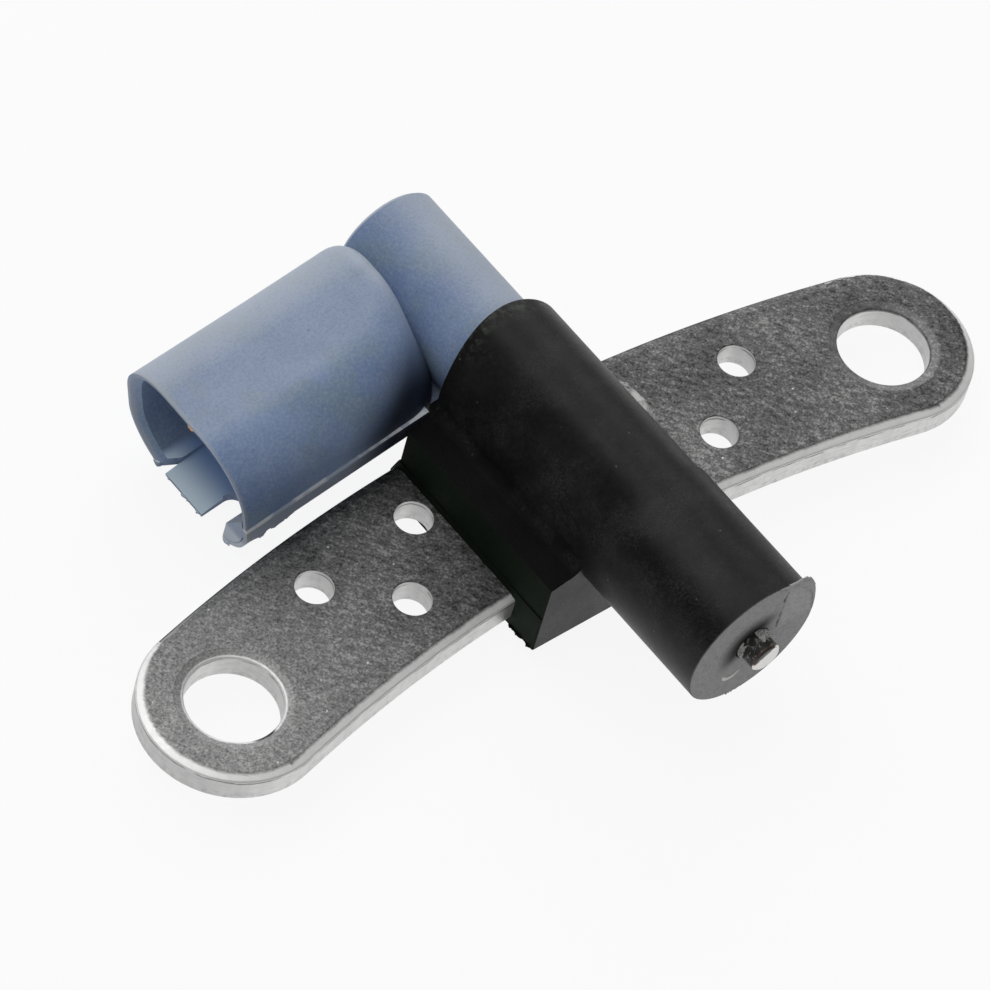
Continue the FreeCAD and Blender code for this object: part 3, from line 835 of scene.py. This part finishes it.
@dataclass(frozen=True)
class PlainPolymer(Finish):
    """Unpainted moulded or film plastic."""

    name: str
    light: Colour
    dark: Colour
    roughness: float

    def sockets(self, graph: Graph) -> Inputs:
        """Builds a soft mottling and a fine grain.

        Args:
            graph: The node tree.

        Returns:
            The shader's inputs.
        """
        clouds = graph.noise(4 * MM)
        grain = graph.noise(0.25 * MM, 2.0, 0.6)
        return {
            "Base Color": graph.blend(clouds.rise(0.3, 0.7), self.light, self.dark),
            "Roughness": self.roughness + grain.swing(0.2),
            "Normal": graph.bump(grain, 0.02 * MM, 0.4),
        }


@dataclass(frozen=True)
class StudioFloor(Finish):
    """Pale floor that keeps a soft shadow and shows white to the camera and in gloss."""

    name: str = "studio_floor"
    whiteness: float = 0.9
    tone: Colour = (0.8, 0.8, 0.8, 1.0)

    def shader(self, graph: Graph) -> Wire:
        """Mixes a pale matte floor with plain white.

        Args:
            graph: The node tree.

        Returns:
            The mixed shader.
        """
        mask = (graph.ray("Camera") * self.whiteness).at_least(graph.ray("Glossy"))
        mask = mask.at_least(graph.ray("Transmission"))
        matte = graph.out("ShaderNodeBsdfDiffuse", {"Color": self.tone})
        white = graph.out("ShaderNodeEmission", {"Strength": 1.0})
        return graph.out("ShaderNodeMixShader", {0: mask, 1: matte, 2: white})


def dress(name: str, finish: Finish) -> None:
    """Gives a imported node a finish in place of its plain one.

    Args:
        name: The node's name.
        finish: Its finish.
    """
    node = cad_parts[name]
    node.data.materials.clear()
    node.data.materials.append(finish.material())
    LOG.info("node %s takes %s", name, finish.name)


def add_object(name: str, data: bpy.types.ID) -> bpy.types.Object:
    """A new object of the scene with this data.

    Args:
        name: The object's name.
        data: Its mesh, light or camera.

    Returns:
        The object.
    """
    made = bpy.data.objects.new(name, data)
    bpy.context.scene.collection.objects.link(made)
    return made


def make_piece(name: str, shape: Shape, finish: Finish) -> None:
    """Makes a smooth mesh piece that rides with the sensor.

    Args:
        name: The piece's name.
        shape: Its vertices, in metres, and its faces, as vertex numbers.
        finish: Its finish.
    """
    points, faces = shape
    mesh = bpy.data.meshes.new(name)
    mesh.from_pydata(points, [], faces)
    build = bmesh.new()
    build.from_mesh(mesh)
    bmesh.ops.recalc_face_normals(build, faces=build.faces)
    build.to_mesh(mesh)
    build.free()
    mesh.update()
    mesh.polygons.foreach_set("use_smooth", [True] * len(mesh.polygons))
    mesh.materials.append(finish.material())
    piece = add_object(name, mesh)
    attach(piece, "root")
    LOG.info("piece %s has %d faces", name, len(mesh.polygons))


def closed_sheet(rows: int, columns: int, place: Callable[[float, float], Skins]) -> Shape:
    """A patch with an upper and a lower skin that share its border.

    Args:
        rows: Steps along the first direction.
        columns: Steps along the second direction.
        place: Gives the upper and the lower point for two shares of 0 to 1.

    Returns:
        The points and the faces.
    """
    points: list[Vector] = []
    upper: dict[tuple[int, int], int] = {}
    lower: dict[tuple[int, int], int] = {}
    for row in range(rows + 1):
        for column in range(columns + 1):
            high, low = place(row / rows, column / columns)
            upper[row, column] = lower[row, column] = len(points)
            points.append(high)
            if 0 < row < rows and 0 < column < columns:
                lower[row, column] = len(points)
                points.append(low)
    faces: list[tuple[int, ...]] = []
    for row in range(rows):
        for column in range(columns):
            ring = [(row, column), (row + 1, column), (row + 1, column + 1), (row, column + 1)]
            faces.append(tuple(upper[spot] for spot in ring))
            faces.append(tuple(lower[spot] for spot in reversed(ring)))
    return points, faces


def skin(rings: Sequence[Sequence[Vector]]) -> Shape:
    """A closed skin over rings of equal count, capped at both ends.

    Args:
        rings: The rings in order, each with its points in the same sense.

    Returns:
        The points and the faces.
    """
    count = len(rings[0])
    points = [point for ring in rings for point in ring]
    faces: list[tuple[int, ...]] = [tuple(range(count))]
    for ring in range(len(rings) - 1):
        for step in range(count):
            low, high = ring * count, (ring + 1) * count
            after = (step + 1) % count
            faces.append((low + after, low + step, high + step, high + after))
    faces.append(tuple(reversed(range(len(points) - count, len(points)))))
    return points, faces


def ragged_fin(steps: int, foot: Callable[[float], Fin]) -> Shape:
    """A thin fin of flash along a line.

    Args:
        steps: Number of steps along the line.
        foot: Gives for a share of 0 to 1 the fin's foot, its reach and its half thickness.

    Returns:
        The points and the faces.
    """
    rings = []
    for step in range(steps + 1):
        place, reach, side = foot(step / steps)
        tip = place + reach
        rings.append([place + side, tip + side * 0.4, tip - side * 0.4, place - side])
    return skin(rings)


def pebble(centre: Vector, radii: Triple, seed: float) -> Shape:
    """A small irregular crumb.

    Args:
        centre: Its middle.
        radii: Its half sizes along X, Y and Z.
        seed: Picks its shape.

    Returns:
        The points and the faces.
    """
    rows, columns = 12, 16
    rings = []
    for row in range(1, rows):
        polar = math.pi * row / rows
        ring = []
        for step in range(columns):
            turn = 2 * math.pi * step / columns
            flat = math.sin(polar)
            way = Vector((flat * math.cos(turn), flat * math.sin(turn), math.cos(polar)))
            swell = 1 + 0.45 * noise.noise(way * 1.7 + Vector((seed, 0, 0)))
            ring.append(centre + Vector((way.x * radii[0], way.y * radii[1], way.z * radii[2])) * swell)
        rings.append(ring)
    return skin(rings)


def wave(x: float, y: float, z: float) -> float:
    """Smooth noise of -1 to 1 at a spot."""
    return noise.noise(Vector((x, y, z)))


def about_axis(angle: float, radius: float, along: float) -> Vector:
    """A point about the sensor's axis, at an angle in degrees up from +X."""
    turn = math.radians(angle)
    return Vector((radius * math.cos(turn), along, AXIS_HEIGHT + radius * math.sin(turn)))


def in_socket(outward: float, across: float, level: float) -> Vector:
    """A point of the socket: out along it, across it and up from its middle."""
    cosine, sine = math.cos(SOCKET_PITCH), math.sin(SOCKET_PITCH)
    return Vector((-outward * cosine - level * sine, across, AXIS_HEIGHT - outward * sine + level * cosine))


@dataclass
class Bracket:
    """The stamped strap with its eight holes."""

    finish: Finish = PressedSteel()

    def build(self) -> None:
        """Dresses the strap."""
        dress("bracket_plate", self.finish)


@dataclass
class SensorBody:
    """The black moulding with the marks that moulding left on it. Angles are in degrees up from +X."""

    barrel_radius: float = 7.88 * MM
    gate_along: float = 1.6 * MM
    gate_length: float = 5.8 * MM
    gate_width: float = 3.8 * MM
    gate_height: float = 0.76 * MM
    gate_angle: float = 27.0
    nose_radius: float = 8.1 * MM
    pin_radius: float = 1.75 * MM
    lip_reach: float = 1.0 * MM
    lip_start: float = 4.0
    lip_sweep: float = 74.0
    lip_peak: float = 51.0
    lip_spreads: tuple[float, float] = (23.0, 10.0)
    crumbs_start: float = -112.0
    crumbs_sweep: float = 92.0
    crumbs_peak: float = -94.0
    crumbs_spread: float = 13.0
    scrape_bend: tuple[Triple, Triple, Triple] = ((-2.96, 0, 8.44), (-2.1, 0, 7.1), (-0.45, 0, 8.2))
    scrape_width: float = 0.36 * MM
    scrape_lift: float = 0.14 * MM
    block_side: float = -11.65 * MM
    block_front: float = -9.3 * MM
    block_foot: float = -1.3 * MM
    flash_length: float = 8.5 * MM
    flash_reach: float = 0.55 * MM
    finish: Finish = BlackPlastic()

    def gate_witness(self) -> None:
        """The torn hump that the runner left on the barrel's side."""

        def place(share_along: float, share_round: float) -> Skins:
            """Upper and lower skin of the hump.

            Args:
                share_along: Share of the way along.
                share_round: Share of the way across.

            Returns:
                Both skins' places.
            """
            along, across = share_along * 2 - 1, share_round * 2 - 1
            spot = Vector((along * 3.1, across * 2.3, 0.7))
            inside = 1 - along * along - across * across + 0.25 * noise.noise(spot * 1.6)
            height = max(0.0, inside) ** 0.55 * self.gate_height * (0.95 + 0.35 * noise.noise(spot))
            where = self.gate_along + along * self.gate_length / 2
            angle = self.gate_angle + math.degrees(across * self.gate_width / 2 / self.barrel_radius)
            return (
                about_axis(angle, self.barrel_radius + height - 0.1 * MM, where),
                about_axis(angle, self.barrel_radius - 0.2 * MM, where),
            )

        torn = TornPlastic("gate_torn", srgb(196, 196, 195), srgb(66, 66, 66), 0.38, 1.1 * MM)
        make_piece("gate_witness", closed_sheet(26, 16, place), torn)

    def nose_lip(self) -> None:
        """The torn lip that cutting the nose to length left on its upper right."""

        def foot(share: float) -> Fin:
            """Foot, reach and half thickness of the lip.

            Args:
                share: Share of the way along the edge.

            Returns:
                All three.
            """
            angle = self.lip_start + share * self.lip_sweep
            spread = self.lip_spreads[0 if angle < self.lip_peak else 1]
            swell = math.exp(-(((angle - self.lip_peak) / spread) ** 2))
            swell *= min(1.0, share * 8, (1 - share) * 8)
            ripple = 1 + 0.14 * wave(angle * 0.35, 0.0, 3.0)
            reach = self.lip_reach * swell * ripple
            along = NOSE_TIP + 0.12 * MM
            place = about_axis(angle, self.nose_radius - 0.3 * MM, along)
            tip = about_axis(angle, self.nose_radius - 0.05 * MM + reach, along)
            tip.z = min(tip.z, AXIS_HEIGHT + self.nose_radius - 0.02 * MM)
            return place, tip - place, Vector((0, (0.2 + 0.05 * ripple) * MM, 0))

        torn = TornPlastic("black_moulding_torn", srgb(168, 168, 168), srgb(112, 112, 112), 0.25, 0.3 * MM)
        make_piece("nose_lip", ragged_fin(110, foot), torn)

    def nose_crumbs(self) -> None:
        """Short dark crumbs along the lower edge of the cut."""

        def foot(share: float) -> Fin:
            """Foot, reach and half thickness of the crumbs.

            Args:
                share: Share of the way along the edge.

            Returns:
                All three.
            """
            angle = self.crumbs_start + share * self.crumbs_sweep
            lump = 0.14 + 0.4 * math.exp(-(((angle - self.crumbs_peak) / self.crumbs_spread) ** 2))
            rough = max(0.0, 0.5 + 1.3 * wave(angle * 0.62, 3.3, 1.7))
            reach = lump * MM * rough * min(1.0, share * 9, (1 - share) * 9)
            along = NOSE_TIP + 0.16 * MM
            place = about_axis(angle, self.nose_radius - 0.3 * MM, along)
            tip = about_axis(angle, self.nose_radius - 0.08 * MM + reach, along)
            return place, tip - place, Vector((0, 0.14 * MM, 0))

        make_piece("nose_crumbs", ragged_fin(160, foot), self.finish)

    def tip_scrape(self) -> None:
        """The pale curl that a scrape raised on the nose's face."""
        start, turn, end = (Vector(spot) for spot in self.scrape_bend)
        steps = 24
        rings = []
        for step in range(steps + 1):
            share = step / steps
            near, far = start.lerp(turn, share), turn.lerp(end, share)
            place = near.lerp(far, share) * MM
            place.y = NOSE_TIP
            across = (far - near).normalized().cross(Vector((0, 1, 0)))
            width = self.scrape_width * math.sin(math.pi * min(1.0, 0.06 + share * 0.94)) ** 0.6
            lift = Vector((0, -self.scrape_lift * math.sin(math.pi * share), 0))
            side, ridge, under = across * width, place + lift, place + Vector((0, 0.05 * MM, 0))
            rings.append([place - side, ridge - side * 0.2, ridge + side * 0.5, place + side, under])
        pale = TornPlastic("scrape_pale", srgb(226, 226, 224), srgb(170, 170, 168), 0.1, 0.5 * MM)
        make_piece("tip_scrape", skin(rings), pale)

    def block_flash(self) -> None:
        """The ragged flash along the block's lower left edge."""

        def foot(share: float) -> Fin:
            """Foot, reach and half thickness of the flash.

            Args:
                share: Share of the way along the edge.

            Returns:
                All three.
            """
            along = self.block_front + share * self.flash_length
            rough = 0.35 + wave(share * 9, 4, 0)
            rough += 0.3 * wave(share * 40, 0, 0)
            reach = self.flash_reach * max(0.04, rough) * min(1.0, share * 12, (1 - share) * 12)
            place = Vector((self.block_side + 0.1 * MM, along, self.block_foot + 0.16 * MM))
            return place, Vector((-0.1 * MM - reach, 0, -0.03 * MM)), Vector((0, 0, 0.13 * MM))

        make_piece("block_flash", ragged_fin(90, foot), self.finish)

    def pin_collar(self) -> None:
        """What is left of the torn collar about the pin: an upper flake and a lower patch."""
        pale = TornPlastic("collar_torn", srgb(206, 206, 204), srgb(84, 84, 83), 0.25, 0.3 * MM)
        for name, start, end, reach, height, seed in (
            ("collar_flake", 28.0, 98.0, 1.7 * MM, 0.34 * MM, 2.0),
            ("collar_patch", 148.0, 214.0, 0.85 * MM, 0.2 * MM, 9.0),
        ):
            shape = closed_sheet(26, 30, self.flake(start, end, reach, height, seed))
            make_piece(name, shape, pale)

    def flake(
        self, start: float, end: float, reach: float, height: float, seed: float
    ) -> Callable[[float, float], Skins]:
        """Skins of a torn flake on the pin.

        Args:
            start: Its first angle in degrees up from +X.
            end: Its last angle.
            reach: Its length along the pin.
            height: How far it stands off the pin.
            seed: Picks its shape.

        Returns:
            A function of two shares that gives the upper and the lower point.
        """

        def place(share_along: float, share_round: float) -> Skins:
            """Upper and lower skin of the flake.

            Args:
                share_along: Share of the way along.
                share_round: Share of the way across.

            Returns:
                Both skins' places.
            """
            extent = reach * (0.72 + 0.4 * wave(share_round * 5, seed, 0.0))
            angle = start + (end - start) * share_round + 9 * wave(share_along * 3, 0, seed)
            spot = Vector((share_along * 4.5, share_round * 5.5, seed))
            swell = 0.4 + 0.8 * abs(noise.noise(spot)) + 0.5 * share_along
            along = NOSE_TIP + 0.05 * MM - extent * share_along
            return (
                about_axis(angle, self.pin_radius + height * swell, along),
                about_axis(angle, self.pin_radius - 0.08 * MM, along),
            )

        return place

    def build(self) -> None:
        """Dresses the moulding and adds its marks."""
        dress("sensor_body", self.finish)
        self.gate_witness()
        self.nose_lip()
        self.nose_crumbs()
        self.tip_scrape()
        self.pin_collar()
        self.block_flash()


@dataclass
class ConnectorHousing:
    """The grey-blue moulding: cylinder, plug socket, latch tongue, key and rail."""

    tongue: tuple[float, float] = (22.95 * MM, 29.15 * MM)
    tongue_flash_reach: float = 0.42 * MM
    wall_foot: float = -8.7 * MM
    rail_side: float = 14.85 * MM
    rail_foot: float = -2.8 * MM
    burr_start: float = 26.4 * MM
    burr_length: float = 5.6 * MM
    burr_reach: float = 0.6 * MM
    finish: Finish = BluePlastic()

    def tongue_flash(self) -> None:
        """Thin ragged flash along the tongue's tip."""
        outward = in_socket(1, 0, 0) - in_socket(0, 0, 0)
        upward = in_socket(0, 0, 1) - in_socket(0, 0, 0)

        def foot(share: float) -> Fin:
            """Foot, reach and half thickness of the flash.

            Args:
                share: Share of the way along the edge.

            Returns:
                All three.
            """
            across = self.tongue[0] + (0.05 + 0.9 * share) * (self.tongue[1] - self.tongue[0])
            rough = 0.3 + wave(share * 8, 1.5, 0)
            rough += 0.4 * wave(share * 31, 0, 2)
            reach = self.tongue_flash_reach * max(0.05, rough) * min(1.0, share * 14, (1 - share) * 14)
            place = in_socket(SOCKET_MOUTH - 0.12 * MM, across, self.wall_foot + 0.2 * MM)
            return place, outward * (0.12 * MM + reach), upward * (0.1 * MM)

        make_piece("tongue_flash", ragged_fin(90, foot), self.finish)

    def rail_burr(self) -> None:
        """The burr that hangs under the rail."""
        side = Vector((0, 0.12 * MM, 0))
        downward = in_socket(0, 0, -1) - in_socket(0, 0, 0)

        def foot(share: float) -> Fin:
            """Foot, reach and half thickness of the burr.

            Args:
                share: Share of the way along the edge.

            Returns:
                All three.
            """
            outward = self.burr_start + self.burr_length * share
            rough = 0.55 + wave(share * 6, 8, 0)
            rough += 0.3 * wave(share * 26, 0, 5)
            reach = self.burr_reach * max(0.06, rough) * min(1.0, share * 5, (1 - share) * 9)
            place = in_socket(outward, self.rail_side + 0.14 * MM, self.rail_foot + 0.1 * MM)
            return place, downward * (0.1 * MM + reach) - side, side

        make_piece("rail_burr", ragged_fin(80, foot), self.finish)

    def crumbs(self) -> None:
        """Crumbs of torn plastic at the mouth's lower corners."""
        for name, spot, radii, seed in (
            ("crumb_far", (32.3, 30.6, -8.0), (0.35, 0.5, 0.35), 1.0),
            ("crumb_key", (32.35, 18.7, -7.75), (0.25, 0.6, 0.25), 6.0),
        ):
            centre = in_socket(*(size * MM for size in spot))
            shape = pebble(centre, tuple(size * MM for size in radii), seed)
            make_piece(name, shape, self.finish)

    def build(self) -> None:
        """Dresses the moulding and adds its flash and crumbs."""
        dress("connector_housing", self.finish)
        self.tongue_flash()
        self.rail_burr()
        self.crumbs()


@dataclass
class MagneticCore:
    """Pole pin, magnet and yoke disc on the sensor's axis."""

    pin: Finish = CutPin()
    steel: Finish = GrainedMetal(
        "pole_steel_turned", srgb(206, 205, 203), srgb(150, 149, 147), 0.3, (1.0, 8.0, 1.0)
    )
    magnet: Finish = GrainedMetal(
        "magnet_ground", srgb(150, 150, 152), srgb(112, 112, 114), 0.45, (0.2, 1.0, 1.0)
    )

    def build(self) -> None:
        """Dresses the three pieces."""
        dress("pole_pin", self.pin)
        dress("yoke_disc", self.steel)
        dress("magnet", self.magnet)


@dataclass
class Coil:
    """Bobbin, winding, tape and the wire's two ends."""

    copper: Finish = GrainedMetal(
        "winding_enamelled", srgb(196, 118, 72), srgb(140, 74, 40), 0.3, (1.0, 5.0, 1.0)
    )
    bobbin: Finish = PlainPolymer("bobbin_natural", srgb(206, 200, 186), srgb(186, 180, 164), 0.5)
    tape: Finish = PlainPolymer("tape_film", srgb(208, 180, 106), srgb(190, 158, 84), 0.35)

    def build(self) -> None:
        """Dresses the pieces."""
        dress("coil_bobbin", self.bobbin)
        dress("coil_winding", self.copper)
        dress("coil_end_near", self.copper)
        dress("coil_end_far", self.copper)
        dress("winding_tape", self.tape)


@dataclass
class Terminals:
    """The two stamped blades in the socket."""

    finish: Finish = GrainedMetal(
        "terminal_stamped", srgb(214, 160, 104), srgb(150, 98, 58), 0.35, (0.12, 1.0, 1.0)
    )

    def build(self) -> None:
        """Dresses both blades."""
        dress("terminal_near", self.finish)
        dress("terminal_far", self.finish)


@dataclass(frozen=True)
class SoftLight:
    """A square softbox."""

    name: str
    place: Triple
    size: float
    power: float


@dataclass
class Studio:
    """Camera, pale floor and soft light."""

    lens: float = 226.9
    sensor_width: float = 36.0
    clip: tuple[float, float] = (0.01, 20.0)
    camera_place: Triple = (-0.32169, -0.24127, 0.5065)
    right: Triple = (0.76735, -0.61548, 0.17988)
    down: Triple = (-0.41198, -0.68817, -0.59724)
    aim: Triple = (0.0, 0.003, 0.006)
    floor_size: float = 8.0
    floor_gap: float = 0.05 * MM
    ambient: float = 0.5
    gloss: float = 0.22
    lights: tuple[SoftLight, ...] = (
        SoftLight("right_light", (0.61, 0.61, 0.55), 0.6, 2.6),
        SoftLight("top_light", (-0.18, 0.42, 0.9), 0.9, 4.0),
    )

    def camera(self) -> None:
        """Sets up the camera at the photograph's view."""
        right, up = Vector(self.right).normalized(), -Vector(self.down).normalized()
        back = right.cross(up).normalized()
        up = back.cross(right).normalized()
        turn = Matrix((right, up, back)).transposed()
        data = bpy.data.cameras.new("view")
        data.lens = self.lens
        data.sensor_width = self.sensor_width
        data.sensor_fit = "HORIZONTAL"
        data.clip_start, data.clip_end = self.clip
        camera = add_object("view", data)
        camera.matrix_world = Matrix.Translation(Vector(self.camera_place)) @ turn.to_4x4()
        bpy.context.scene.camera = camera

    def floor(self) -> None:
        """Lays the floor just under the lowest point of the sensor."""
        half, level = self.floor_size / 2, CAD_BOX[0][2] - self.floor_gap
        mesh = bpy.data.meshes.new("floor")
        corners = [(-half, -half, level), (half, -half, level), (half, half, level), (-half, half, level)]
        mesh.from_pydata(corners, [], [(0, 1, 2, 3)])
        mesh.materials.append(StudioFloor().material())
        add_object("floor", mesh)

    def lamps(self) -> None:
        """Hangs the softboxes and aims them at the sensor."""
        for light in self.lights:
            data = bpy.data.lights.new(light.name, "AREA")
            data.shape = "SQUARE"
            data.size = light.size
            data.energy = light.power
            place = Vector(light.place)
            turn = (Vector(self.aim) - place).to_track_quat("-Z", "Y").to_matrix().to_4x4()
            add_object(light.name, data).matrix_world = Matrix.Translation(place) @ turn

    def world(self) -> None:
        """An even room: white to the camera, dimmer as light and in gloss."""
        room = bpy.data.worlds.new("room")
        bpy.context.scene.world = room
        graph = Graph(room)
        strength = self.ambient + graph.ray("Glossy") * (self.gloss - self.ambient)
        strength = strength.at_least(graph.ray("Camera")).at_least(graph.ray("Transmission"))
        light = graph.out("ShaderNodeBackground", {"Strength": strength})
        graph.node("ShaderNodeOutputWorld", {"Surface": light})

    def build(self) -> None:
        """Sets the stage."""
        bpy.context.scene.view_settings.view_transform = "Standard"
        self.camera()
        self.floor()
        self.lamps()
        self.world()
        LOG.info("studio is set")


def main() -> None:
    """Builds the sensor's looks piece by piece."""
    logging.basicConfig(level=logging.INFO, format="%(message)s")
    Studio().build()
    for assembly in (Bracket(), SensorBody(), ConnectorHousing(), MagneticCore(), Coil(), Terminals()):
        assembly.build()
        LOG.info("%s is done", type(assembly).__name__)


if __name__ == "__main__":
    main()
